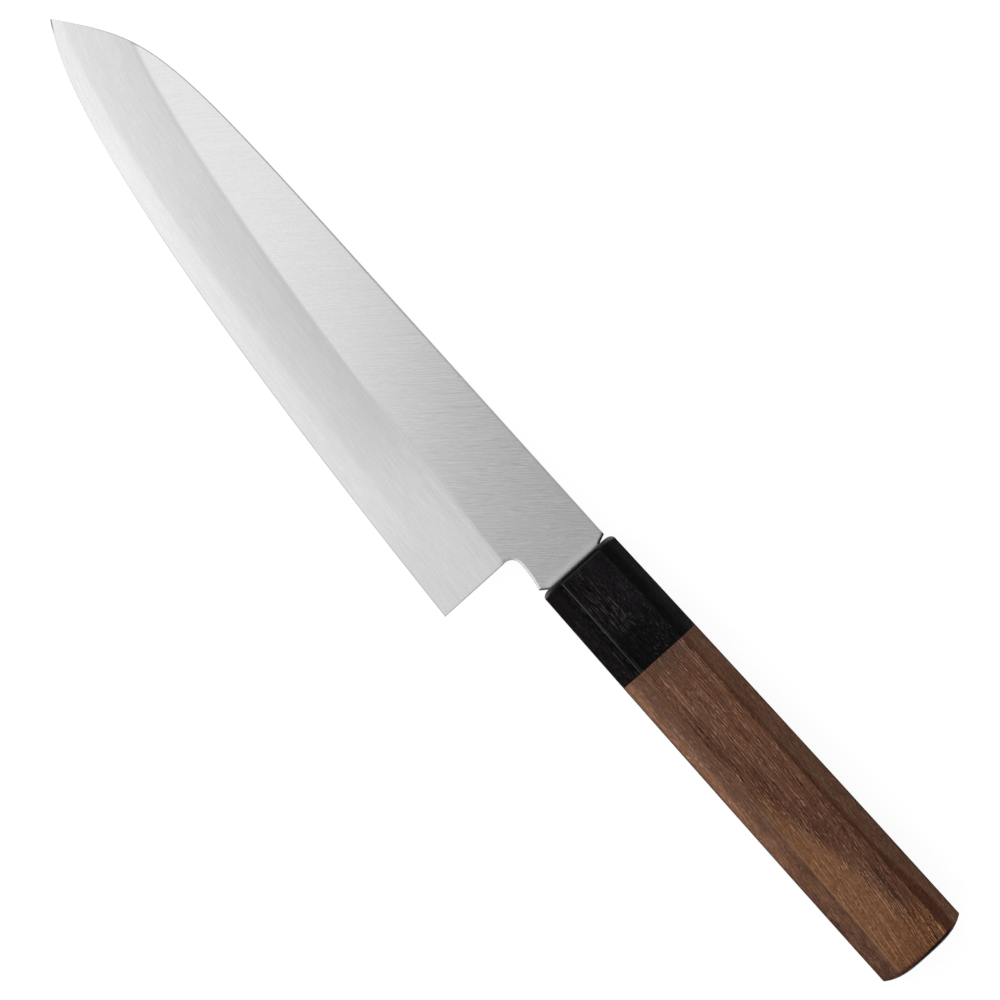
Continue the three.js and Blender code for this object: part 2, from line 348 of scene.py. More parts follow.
def dark_outline():
    """Painted shade along the outline: on the spine, where the bevel line ends, and at the heel, tip and
    corners.
    """
    dark = np.interp(side_x, spine_shade_places, spine_shade_strengths) * within(below_top, spine_ease)
    from_meeting = np.abs(side_x - meeting_x)
    meeting = within(from_meeting, meeting_shade_length) * within(below_top, meeting_shade_width)
    dark = np.where(on_blade, np.maximum(dark, 0.35 * meeting), dark)
    heel_rise = np.clip((side_y - heel_y) / bevel_height, 0, 1)
    heel = within(heel_x - side_x, heel_ease) * (0.3 + 0.4 * heel_rise)
    dark = np.where(at_heel, np.maximum(dark, heel), dark)
    near_tip = within(side_x - tip_x, tip_shade_length, 1.8) * within(side_rise, tip_shade_width, 1.8)
    dark = np.where(on_blade, np.maximum(dark, 0.8 * near_tip), dark)
    slope = shoulder_drop / shoulder_ease
    from_cut = ((corner_x - side_x) * slope + spine_y - side_y) / math.hypot(slope, 1)
    upper_corner = within(from_cut, upper_shade_width, 2.2) * (side_y > spine_y - 1.1 * shoulder_drop)
    dark = np.where(side_x > corner_x - 0.7 * mm, np.maximum(dark, upper_corner), dark)
    over_cut = (low_corner_x - side_x) * low_corner_slope + side_y - low_corner_y
    from_low_cut = over_cut / math.hypot(low_corner_slope, 1)
    lower_corner = np.minimum(within(from_low_cut, lower_shade_width, 1.5), 0.9)
    lower_corner = lower_corner * (side_y < low_corner_y + lower_shade_reach)
    return np.where(side_x > low_corner_x - 0.3 * mm, np.maximum(dark, lower_corner), dark)


side_outline_shade = dark_outline()
side_top = np.maximum(ground_half(side_x, side_y) - outline_ease(), edge_half)
side_top[neck_end:] = tang_half
side_weld = weld_half(side_x)
thinnest_cladding = 0.001 * mm
seam = side_row == reveal_rows
covered = (side_row > reveal_rows) & ((side_top > side_weld + thinnest_cladding) | ~on_blade)
least_gap = 1e-7


def placed(name, data):
    """A new object of the scene with its data."""
    made = bpy.data.objects.new(name, data)
    bpy.context.scene.collection.objects.link(made)
    return made


def shell(name, faces, top, bottom, sharp_angle):
    """A closed piece between an upper and a lower surface over the same points, shut where they meet."""
    used = np.unique(faces)
    place = np.full(len(side_x), -1)
    place[used] = np.arange(len(used))
    faces = place[faces]
    top = top[used]
    bottom = bottom[used]
    apart = top - bottom > least_gap
    below = np.where(apart, len(used) + np.cumsum(apart) - 1, np.arange(len(used)))
    points = np.column_stack([side_x[used], side_y[used], top])
    lower = np.column_stack([side_x[used], side_y[used], bottom])[apart]
    edges = np.vstack([faces[:, [0, 1]], faces[:, [1, 2]], faces[:, [2, 3]], faces[:, [3, 0]]])
    known = {(a, b) for a, b in edges.tolist()}
    rim = [(a, b) for a, b in known if (b, a) not in known]
    all_faces = faces.tolist() + below[faces[:, ::-1]].tolist()
    for a, b in sorted(rim):
        wall = [b, a, below[a], below[b]]
        corners = [corner for i, corner in enumerate(wall) if corner not in wall[:i]]
        if len(corners) > 2:
            all_faces.append(corners)
    mesh = bpy.data.meshes.new(name)
    mesh.from_pydata((np.vstack([points, lower]) + knife_place).tolist(), [], all_faces)
    # Each point keeps its rise above the edge and its "dark" share, which is the painted outline shade.
    for label, values in (("rise", side_rise), ("dark", side_outline_shade)):
        attribute = mesh.attributes.new(label, "FLOAT", "POINT")
        kept = np.concatenate([values[used], values[used][apart]])
        attribute.data.foreach_set("value", kept.astype(np.float32))
    mesh.validate()
    piece = placed(name, mesh)
    mesh.shade_smooth()
    mesh.set_sharp_from_angle(angle=math.radians(sharp_angle))
    return piece


core_top = np.where(covered, side_weld, side_top)
# The core turns about three degrees where its bared bevel passes under the cladding. That line is kept.
core_sharp_angle = 1.5
core_piece = shell("core_steel_blade", side_faces, core_top, -core_top, core_sharp_angle)


class Output:
    """An output of a node. Sums with it add the nodes that work them out."""

    def __init__(self, graph, socket):
        self.graph = graph
        self.socket = socket

    def __add__(self, other):
        return self.graph.math("ADD", self, other)

    def __sub__(self, other):
        return self.graph.math("SUBTRACT", self, other)

    def __rsub__(self, other):
        return self.graph.math("SUBTRACT", other, self)

    def __mul__(self, other):
        return self.graph.math("MULTIPLY", self, other)

    def __truediv__(self, other):
        return self.graph.math("DIVIDE", self, other)

    def __pow__(self, other):
        return self.graph.math("POWER", self, other)

    def __mod__(self, other):
        return self.graph.math("MODULO", self, other)

    def __gt__(self, other):
        return self.graph.math("GREATER_THAN", self, other)

    def __abs__(self):
        return self.graph.math("ABSOLUTE", self)

    __radd__ = __add__
    __rmul__ = __mul__

    def or_larger(self, other):
        return self.graph.math("MAXIMUM", self, other)

    def swing(self, size):
        """A pattern's swing to either side of its middle."""
        return (self - 0.5) * size

    def fade(self, low, high, to_low=0.0, to_high=1.0):
        """This value carried from one range to another with soft ends."""
        sockets = {"Value": self, "From Min": low, "From Max": high, "To Min": to_low, "To Max": to_high}
        return self.graph.node("ShaderNodeMapRange", sockets, interpolation_type="SMOOTHSTEP")

    def span(self, low, high, to_low=0.0, to_high=1.0):
        """A fade between two distances, given in millimetres."""
        return self.fade(low * mm, high * mm, to_low, to_high)

    def window(self, start, full, still_full, end):
        """A fade in and out again, at distances in millimetres."""
        return self.span(start, full) * self.span(still_full, end, 1, 0)

    def roughness(self, least, most):
        return self.fade(0.2, 0.8, least, most)


def between(a, b, share):
    """The value a share of the way from a to b."""
    return a + (b - a) * share


class Graph:
    """A node tree, with short calls for adding and joining its nodes."""

    def __init__(self, tree):
        self.tree = tree

    def link(self, source, target):
        if isinstance(source, Output):
            self.tree.links.new(source.socket, target)
        else:
            target.default_value = source

    def node(self, kind, inputs, output=0, **settings):
        made = self.tree.nodes.new(kind)
        for key, value in settings.items():
            setattr(made, key, value)
        for key, value in inputs.items():
            self.link(value, made.inputs[key])
        return Output(self, made.outputs[output])

    def math(self, operation, a, b=0.0, clamp=False):
        return self.node("ShaderNodeMath", {0: a, 1: b}, operation=operation, use_clamp=clamp)

    def split(self, vector):
        parts = self.tree.nodes.new("ShaderNodeSeparateXYZ")
        self.link(vector, parts.inputs[0])
        return [Output(self, part) for part in parts.outputs]

    def join(self, x, y, z):
        return self.node("ShaderNodeCombineXYZ", {"X": x, "Y": y, "Z": z})


class Paint(Graph):
    """A material, with short calls for the patterns that the finishes here are mixed from."""

    def __init__(self, name):
        self.material = bpy.data.materials.new(name)
        self.material.use_nodes = True
        super().__init__(self.material.node_tree)
        self.shader = self.tree.nodes["Principled BSDF"]

    def set(self, **sockets):
        for key, value in sockets.items():
            self.link(value, self.shader.inputs[key.replace("_", " ")])

    def place(self):
        """Place on the knife, measured from the middle of the ferrule's front face."""
        coordinates = self.node("ShaderNodeTexCoord", {}, "Object")
        sockets = {0: coordinates, 1: tuple(knife_place)}
        return self.node("ShaderNodeVectorMath", sockets, operation="SUBTRACT")

    def normal(self):
        """The parts of the direction that the surface faces."""
        return self.split(self.node("ShaderNodeNewGeometry", {}, "Normal"))

    def attribute(self, name):
        return self.node("ShaderNodeAttribute", {}, "Fac", attribute_name=name)

    def turned(self, vector, scale, angle=0.0):
        """The same place turned about the vertical, in degrees, and then stretched."""
        spun = self.node("ShaderNodeMapping", {"Vector": vector, "Rotation": (0, 0, math.radians(angle))})
        return self.node("ShaderNodeMapping", {"Vector": spun, "Scale": scale})

    def noise(self, vector, detail=3.0, rough=0.55):
        sockets = {"Vector": vector, "Scale": 1.0, "Detail": detail, "Roughness": rough}
        return self.node("ShaderNodeTexNoise", sockets, "Fac")

    def pattern(self, pattern_place, along, across, detail=3.0, rough=0.55):
        """Noise over a pattern place, finer along and across it with larger scales."""
        return self.noise(pattern_place(self, along, across), detail, rough)

    def mix(self, share, a, b, blend="MIX"):
        made = self.tree.nodes.new("ShaderNodeMix")
        made.data_type = "RGBA"
        made.blend_type = blend
        self.link(share, made.inputs[0])
        self.link(a, made.inputs[6])
        self.link(b, made.inputs[7])
        return Output(self, made.outputs[2])

    def multiplied(self, tone, factor):
        return self.mix(1.0, tone, factor, "MULTIPLY")

    def layered(self, tone, *layers):
        """A tone with others laid over it in turn, each in its own share."""
        for share, layer in layers:
            tone = self.mix(share, tone, layer)
        return tone

    def shaded(self, tone, *patterns):
        """A tone made darker and lighter by patterns, each by up to its own share."""
        for pattern, depth in patterns:
            tone = self.multiplied(tone, pattern.fade(0.25, 0.75, 1 - depth, 1 + depth))
        return tone

    def bump(self, height, strength, distance):
        return self.node("ShaderNodeBump", {"Height": height, "Strength": strength, "Distance": distance})


def tint(red, green, blue):
    return (red, green, blue, 1)


def grey(level):
    return tint(level, level, level)


def along_edge(paint, length_scale, rise_scale):
    """Pattern place that runs with the edge: length along the blade, rise above the edge."""
    x, _, z = paint.split(paint.place())
    return paint.join(x * length_scale, paint.attribute("rise") * rise_scale, z * 40.0)


def along_blade(paint):
    """Distances of a place behind the tip and ahead of the heel."""
    x, _, _ = paint.split(paint.place())
    return x - tip_x, heel_x - x


def grit(paint):
    """Fine even grain of a worked metal surface."""
    return paint.noise(paint.turned(paint.place(), (2400, 2400, 2400)), 1)


ground_steel = grey(0.572)
bared_core = grey(0.682)
shaded_bevel = grey(0.2)
honed_edge_shade = grey(0.25)
spine_stripe = grey(0.66)
core_outline_shade = grey(0.03)
grain_depth = 0.01 * mm


def bevel_tone(paint):
    """Tone of the ground bevel, bright up to the weld's line and darker above it, and its long lines."""
    rise = paint.attribute("rise")
    from_tip, from_heel = along_blade(paint)
    lines = paint.pattern(along_edge, 170, 2400, 2, 0.6)
    long_lines = paint.pattern(along_edge, 20, 1000, 3, 0.6)
    haze = paint.pattern(along_edge, 60, 300)
    weld_line = from_tip.span(0, 25, 3.3 * mm, 4.9 * mm) + from_tip.span(20, 125, 0, 1.5 * mm)
    above_weld = rise + long_lines.swing(3 * mm) + haze.swing(2 * mm) - weld_line
    reach = from_heel.span(15, 35, 0, 0.36) + from_heel.span(50, 150, 0, 0.46)
    bared = above_weld.span(-0.9, 0.9, 1, 0) * reach * from_tip.span(0, 45, 0.55, 1)
    tone = paint.mix(bared, ground_steel, bared_core)

    # Painted shade darkens the bevel towards its line, with a darker stripe and a crease just below it.
    mid_blade = from_heel.span(20, 55) * from_tip.span(30, 100, 0.35, 1)
    under_line = rise.fade(1 * mm, bevel_height - 5 * mm, 0, 0.17) * mid_blade
    stripe = rise.span(15.4, 17) * rise.span(17.2, 18.6, 1, 0.4) * from_tip.span(70, 100, 0.01, 0.05)
    crease = rise.span(18.1, 18.9) * (from_heel.span(40, 65, 0, 0.06) + from_tip.span(60, 25, 0, 0.06))
    tone = paint.mix(under_line + stripe + crease, tone, shaded_bevel)
    tone = paint.shaded(tone, (lines, 0.06), (long_lines, 0.018), (haze, 0.015), (grit(paint), 0.03))
    # The narrow honed edge is painted darker, as painted shade for its steeper facet, which the shape leaves
    # out.
    honed_shade = rise.span(0.12, 0.4, 1, 0) * from_tip.span(30, 80, 0.12, 0.35)
    return paint.mix(honed_shade, tone, honed_edge_shade), lines


def core_finish():
    paint = Paint("stone_polished_core")
    tone, lines = bevel_tone(paint)
    in_spine = paint.attribute("rise").fade(bevel_height, bevel_height + 1 * mm)
    # The painted outline shade darkens the core along its spine, heel, tip and corners.
    tone = paint.layered(tone, (in_spine, spine_stripe), (paint.attribute("dark"), core_outline_shade))
    paint.set(Base_Color=tone, Metallic=1.0, Roughness=lines.roughness(0.34, 0.42),
              Normal=paint.bump(lines, 0.12, grain_depth))
    return paint.material


core_piece.data.materials.append(core_finish())
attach(core_piece, "root")
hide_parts("core_steel")

# Claddings
# The two softer outer layers of the forged bar, one on each face. Slanting sanding lines cover their flats,
# and below the bevel line they are ground along the blade to a hazy grey that fades into the core's
# bright band.
clad_faces = side_faces[(covered | seam)[side_faces].all(axis=1) & covered[side_faces].any(axis=1)]
clad_top = np.maximum(side_top, side_weld)
clad_top[seam] = side_weld[seam]
clad_sharp_angle = 35

sanding_turn = -48
sanding_bow = 0.4
scratch_pitch = 0.72 * mm


def sanding_place(paint, along_scale, across_scale):
    """Pattern place along the sanding lines, which slant across the flat in slight arcs."""
    along, across, up = paint.split(paint.turned(paint.place(), (1, 1, 1), sanding_turn))
    across = across + along * along * sanding_bow
    return paint.join(along * along_scale, across * across_scale, up * 300.0)


def strokes(paint, across, pattern_place, pitch, breaks=560):
    """Short strokes side by side along a pattern: their light crests and the dark troughs between them."""
    wander = paint.pattern(pattern_place, 110, 800, 1)
    wave = paint.math("SINE", across * (math.tau / pitch) + wander * 16.0)
    drawn = paint.pattern(pattern_place, breaks, 1600, 1).fade(0.42, 0.58)
    return wave.fade(0.2, 0.95) * drawn, wave.fade(-0.2, -0.95) * drawn


sanded_flat = grey(0.550)
sanded_tip = grey(0.538)
rear_highlight_tone = grey(0.61)
clad_outline_shade = grey(0.015)
hazy_stretch_x = -47 * mm


def cladding_finish():
    paint = Paint("sanded_cladding")
    rise = paint.attribute("rise")
    x, y, _ = paint.split(paint.place())
    from_tip, from_heel = along_blade(paint)
    _, across, _ = paint.split(sanding_place(paint, 1, 1))
    crest, trough = strokes(paint, across, sanding_place, scratch_pitch, 330)
    scratches = (crest - trough) * 0.25 + 0.5
    sanding = paint.pattern(sanding_place, 400, 3000, 2, 0.6)
    long_sanding = paint.pattern(sanding_place, 50, 2000, 2)
    flat_tone = paint.mix(from_tip.span(70, 30), sanded_flat, sanded_tip)
    flat_tone = paint.shaded(flat_tone, (scratches, 0.016))
    scratched = paint.shaded(flat_tone, (scratches, 0.024))
    flat_tone = paint.mix(x.span(-15, -40), flat_tone, scratched)
    flat_tone = paint.shaded(flat_tone, (sanding, 0.018), (long_sanding, 0.014), (grit(paint), 0.026))

    # A painted highlight brightens the rear of the flat softly up to the ferrule.
    rear_highlight = x.fade(corner_x - 2.4 * mm, corner_x + 1.4 * mm)
    rear_highlight = rear_highlight * rear_highlight * y.span(5, 9, 1, 0.1) * y.span(-10.5, -8)
    flat_tone = paint.mix(rear_highlight, flat_tone, rear_highlight_tone)

    # The bevel line is crisp towards the tip, and hazy over a stretch ahead of the heel.
    bevel, lines = bevel_tone(paint)
    lower = from_heel.span(15, 45, 0, 0.4 * mm)
    hazy = abs(x - hazy_stretch_x).span(26, 3, 0, 1.6 * mm)
    on_bevel = (rise + lower).fade(bevel_height - 0.4 * mm, hazy + (bevel_height + 0.8 * mm), 1, 0)
    # The painted outline shade darkens the cladding along its spine, heel, tip and corners.
    tone = paint.layered(flat_tone, (on_bevel, bevel), (paint.attribute("dark"), clad_outline_shade))
    grain = paint.mix(on_bevel, scratches, lines)
    roughness = grain.roughness(0.17, 0.23) + on_bevel * 0.17 + rear_highlight * 0.22
    paint.set(Base_Color=tone, Metallic=1.0, Roughness=roughness,
              Normal=paint.bump(grain, 0.04, grain_depth))
    return paint.material


cladding_steel = cladding_finish()
cladding_surfaces = {"left_cladding": (clad_top, side_weld), "right_cladding": (-side_weld, -clad_top)}
for name, (top, bottom) in cladding_surfaces.items():
    piece = shell(name + "_blade", clad_faces, top, bottom, clad_sharp_angle)
    piece.data.materials.append(cladding_steel)
    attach(piece, "root")
    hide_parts(name)

# Ferrule
# A block of dense, near-black wood, planed to eight sides with softened corners and a rounded front end.
# The tang runs through its slot, and the handle body's round tenon is glued into the socket at its back.
handle_low, handle_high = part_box("handle_body")
handle_length = handle_high.x - ferrule_front
ferrule_length = ferrule_high.x - ferrule_front
planed_away = 0.24 * mm
octagon_sizes = {
    "Handle Length": handle_length,
    "Front Height": 23.5 * mm,
    "Butt Height": handle_high.y - handle_low.y - 2 * planed_away,
    "Front Thickness": 19.4 * mm,
    "Butt Thickness": handle_high.z - handle_low.z,
    "Front Spine Facet": 4.85 * mm,
    "Butt Spine Facet": 5.35 * mm,
    "Front Edge Facet": 5.7 * mm,
    "Butt Edge Facet": 4.5 * mm,
    "Facet Depth": 5 * mm,
    "Swell": 1.7,
    "Spine Corner Swell": 4.5,
    "Edge Corner Swell": 1.5,
    "Corner Radius": 0.35 * mm,
}
length_sizes = ["Start", "End", "Front Round", "Front Inset", "Back Round", "Crown", "Crown Ease"]
corner_cuts = 5
facet_cuts = 3
front_steps = 7
side_steps = 24
rim_steps = 6
crown_steps = 12
crown_power = 3.5
crown_closing = 0.985
quarter_turn = math.pi / 2
bar_sides = 64
soft_shading_angle = 25


def octagon_section(graph, given, end):
    """The handle's eight-sided section at its front or butt end, with softened corners."""
    high = given[end + " Height"] * 0.5
    wide = given[end + " Thickness"] * 0.5
    low = high * -1.0
    under = wide * -1.0
    spine_corner = high - given[end + " Spine Facet"]
    edge_corner = low + given[end + " Edge Facet"]
    side_corner = wide - given["Facet Depth"]
    under_corner = side_corner * -1.0
    corners = [(high, side_corner), (spine_corner, wide), (edge_corner, wide), (low, side_corner),
               (low, under_corner), (edge_corner, under), (spine_corner, under), (high, under_corner)]
    choose = graph.tree.nodes.new("GeometryNodeIndexSwitch")
    choose.data_type = "VECTOR"
    for _ in corners[2:]:
        choose.index_switch_items.new()
    graph.link(graph.node("GeometryNodeInputIndex", {}), choose.inputs["Index"])
    for number, (y, z) in enumerate(corners):
        graph.link(graph.join(0.0, y, z), choose.inputs[str(number)])
    chosen = Output(graph, choose.outputs[0])
    loop = graph.node("GeometryNodeCurvePrimitiveCircle", {"Resolution": len(corners)}, "Curve")
    loop = graph.node("GeometryNodeSetPosition", {"Geometry": loop, "Position": chosen})
    fillet = {"Curve": loop, "Count": corner_cuts, "Radius": given["Corner Radius"]}
    loop = graph.node("GeometryNodeFilletCurve", fillet, mode="POLY")
    return graph.node("GeometryNodeSubdivideCurve", {"Curve": loop, "Cuts": facet_cuts})


def stored(graph, geometry, name, value, kind):
    """The geometry with a named value kept at each of its points."""
    sockets = {"Geometry": geometry, "Name": name, "Value": value}
    return graph.node("GeometryNodeStoreNamedAttribute", sockets, data_type=kind, domain="POINT")


def recalled(graph, name, kind):
    return graph.node("GeometryNodeInputNamedAttribute", {"Name": name}, data_type=kind)


def sized_tree(name):
    """A tree that takes the handle's sizes, a place and a material, and these inputs by their names."""
    tree = bpy.data.node_groups.new(name, "GeometryNodeTree")
    for size in [*octagon_sizes, *length_sizes]:
        tree.interface.new_socket(size, in_out="INPUT", socket_type="NodeSocketFloat")
    tree.interface.new_socket("Place", in_out="INPUT", socket_type="NodeSocketVector")
    tree.interface.new_socket("Material", in_out="INPUT", socket_type="NodeSocketMaterial")
    tree.interface.new_socket("Geometry", in_out="OUTPUT", socket_type="NodeSocketGeometry")
    graph = Graph(tree)
    given = {socket.name: Output(graph, socket) for socket in tree.nodes.new("NodeGroupInput").outputs}
    return graph, given


def octagon_tube(graph, given):
    """A plain octagonal tube, whose points know their station and their places in both end sections."""
    index = graph.node("GeometryNodeInputIndex", {})
    position = graph.node("GeometryNodeInputPosition", {})

    # The section at the front carries the matching points of the butt's section with it.
    front = octagon_section(graph, given, "Front")
    butt = octagon_section(graph, given, "Butt")
    matching = graph.node("GeometryNodeSampleIndex", {"Geometry": butt, "Value": position, "Index": index},
                          data_type="FLOAT_VECTOR")
    front = stored(graph, front, "front_point", position, "FLOAT_VECTOR")
    front = stored(graph, front, "butt_point", matching, "FLOAT_VECTOR")

    # Points within a facet are told from those on its rounded corners, where highlights and shade are
    # painted.
    part = graph.math("FLOOR", index / (facet_cuts + 1)) % (corner_cuts + 1)
    on_facet = (part > corner_cuts - 0.5) * (index % (facet_cuts + 1) > 0.5)
    front = stored(graph, front, "corner", 1 - on_facet, "FLOAT")
    steps = front_steps + side_steps + rim_steps + crown_steps
    path = graph.node("GeometryNodeCurvePrimitiveLine", {"End": (1, 0, 0)})
    path = graph.node("GeometryNodeResampleCurve", {"Curve": path, "Count": steps + 1}, mode="COUNT")
    path = stored(graph, path, "station", index, "FLOAT")
    tube = {"Curve": path, "Profile Curve": front, "Fill Caps": True}
    return graph.node("GeometryNodeCurveToMesh", tube)


def octagonal_length(name):
    """A tree whose mesh is a length of the octagonal handle, closed at both ends, from Start to End."""
    graph, given = sized_tree(name)
    tube = octagon_tube(graph, given)

    # Each station's place along the handle, and how far it is drawn in at the front and at the crowned end.
    station = recalled(graph, "station", "FLOAT")

    def share_of(first, count):
        return graph.math("DIVIDE", station - first, count, clamp=True)

    front_turn = share_of(0, front_steps) * quarter_turn
    side_share = share_of(front_steps, side_steps)
    rim_turn = share_of(front_steps + side_steps, rim_steps) * quarter_turn
    crown_share = share_of(front_steps + side_steps + rim_steps, crown_steps)
    at_end = station > front_steps + side_steps - 0.5
    along = between(given["Start"] + given["Front Round"], given["End"], side_share)
    along = along - given["Front Round"] * graph.math("COSINE", front_turn)
    front_in = given["Front Inset"] * (1 - graph.math("SINE", front_turn))
    drawn_in = front_in + given["Back Round"] * (1 - graph.math("COSINE", rim_turn))
    share = along / given["Handle Length"]
    swell = 1 - (1 - share) ** given["Swell"]
    _, front_y, front_z = graph.split(recalled(graph, "front_point", "FLOAT_VECTOR"))
    _, butt_y, butt_z = graph.split(recalled(graph, "butt_point", "FLOAT_VECTOR"))
    high = between(given["Front Height"], given["Butt Height"], swell)
    wide = between(given["Front Thickness"], given["Butt Thickness"], share)
    left = 1 - crown_share * crown_closing

    # The wide sides' corners run their own way: straight soon on the spine side, late on the edge side.
    spine_swell = 1 - (1 - share) ** given["Spine Corner Swell"]
    edge_swell = share ** given["Edge Corner Swell"]
    to_spine = front_y > 0.0
    facet = between(given["Front Edge Facet"], given["Front Spine Facet"], to_spine)
    to_rim = given["Front Height"] * 0.5 - abs(front_y)
    over_slant = graph.math("SUBTRACT", 1.0, to_rim / facet, clamp=True)
    point_swell = between(between(edge_swell, spine_swell, to_spine), swell, over_slant)
    y = between(front_y, butt_y, point_swell) * (1 - drawn_in * 2.0 / high) * left
    z = between(front_z, butt_z, share) * (1 - drawn_in * 2.0 / wide) * left

    def fall(value, size, depth):
        return (abs(value) * 2.0 / size) ** crown_power * depth

    fallen = fall(y, given["Butt Height"], given["Crown"])
    fallen = fallen + fall(z, given["Butt Thickness"], given["Crown Ease"])
    rim_back = given["Back Round"] * (1 - graph.math("SINE", rim_turn))
    spot = graph.join(along - (fallen + rim_back) * at_end, y, z)
    tube = graph.node("GeometryNodeSetPosition", {"Geometry": tube, "Position": spot})
    for label in ("front_point", "butt_point", "station"):
        tube = graph.node("GeometryNodeRemoveAttribute", {"Geometry": tube, "Name": label})
    return graph, given, tube


def round_bar(graph, radius, start, end):
    """A round bar along the handle's axis."""
    sizes = {"Vertices": bar_sides, "Radius": radius, "Depth": end - start}
    bar = graph.node("GeometryNodeMeshCylinder", sizes)
    return graph.node("GeometryNodeTransform", {
        "Geometry": bar, "Translation": ((start + end) / 2, 0, 0), "Rotation": (0, quarter_turn, 0)})


def boolean(graph, operation, first, second):
    made = graph.tree.nodes.new("GeometryNodeMeshBoolean")
    made.operation = operation
    graph.link(first, made.inputs["Mesh 1" if operation == "DIFFERENCE" else "Mesh 2"])
    graph.link(second, made.inputs["Mesh 2"])
    return Output(graph, made.outputs["Mesh"])


def finish_tree(graph, given, shape):
    moved = graph.node("GeometryNodeTransform", {"Geometry": shape, "Translation": given["Place"]})
    real = graph.node("GeometryNodeRealizeInstances", {"Geometry": moved})
    done = graph.node("GeometryNodeSetMaterial", {"Geometry": real, "Material": given["Material"]})
    graph.link(done, graph.tree.nodes.new("NodeGroupOutput").inputs[0])


def settled(piece, modifier):
    """The piece's mesh as its one modifier leaves it, with the modifier taken off."""
    ready = piece.evaluated_get(bpy.context.evaluated_depsgraph_get())
    mesh = bpy.data.meshes.new_from_object(ready)
    piece.modifiers.remove(modifier)
    piece.data = mesh
    return mesh


def grown(name, tree, values):
    """The plain mesh piece that a tree makes with the given sizes."""
    piece = placed(name, bpy.data.meshes.new(name + "_seed"))
    modifier = piece.modifiers.new("shape", "NODES")
    modifier.node_group = tree
    for item in tree.interface.items_tree:
        if item.in_out == "INPUT":
            modifier[item.identifier] = values[item.name]
    mesh = settled(piece, modifier)
    mesh.name = name
    mesh.shade_smooth()
    mesh.set_sharp_from_angle(angle=math.radians(soft_shading_angle))
    even = piece.modifiers.new("even_shading", "WEIGHTED_NORMAL")
    even.keep_sharp = True
    settled(piece, even)
    return piece


def facing(paint):
    """How far a place faces as one of the four wide sides does, and how far as an end does."""
    nx, ny, nz = paint.normal()
    wide = abs(nz).fade(0.78, 0.95).or_larger(abs(ny).fade(0.8, 0.95))
    return wide, abs(nx).fade(0.35, 0.8)


def around(paint, y, z):
    """Distance across the fibres: over the wide and slanting sides, and down the upright ones."""
    _, ny, _ = paint.normal()
    return y + z * abs(ny).fade(0.8, 0.95)


ferrule_grain_turn = 1
groove_pitch = 0.62 * mm
furrow_pitch = 1.1 * mm


def ferrule_place(paint, along_scale, across_scale):
    return paint.turned(paint.place(), (along_scale, across_scale, across_scale), ferrule_grain_turn)


def corner_line(paint, thinness):
    """A line along the handle's rounded corners."""
    return paint.attribute("corner") ** thinness


spine_slant_shade = tint(0.0010, 0.0010, 0.0012)
spine_slant_lit = tint(0.0125, 0.0120, 0.0120)
edge_slant_shade = tint(0.0016, 0.0014, 0.0016)
edge_slant_lit = tint(0.0066, 0.0048, 0.0056)
black_face = tint(0.0076, 0.0066, 0.0077)
black_back = tint(0.0028, 0.0029, 0.0034)
open_groove = tint(0.0008, 0.0008, 0.0010)
deep_furrow = tint(0.0006, 0.0006, 0.0008)
raised_fibre = tint(0.085, 0.079, 0.081)
pale_fleck = tint(0.052, 0.042, 0.043)
turn_highlight_grey = tint(0.040, 0.038, 0.040)
corner_turn_highlight = grey(0.145)
blade_shadow = grey(0.0012)
corner_sheen = tint(0.060, 0.057, 0.060)


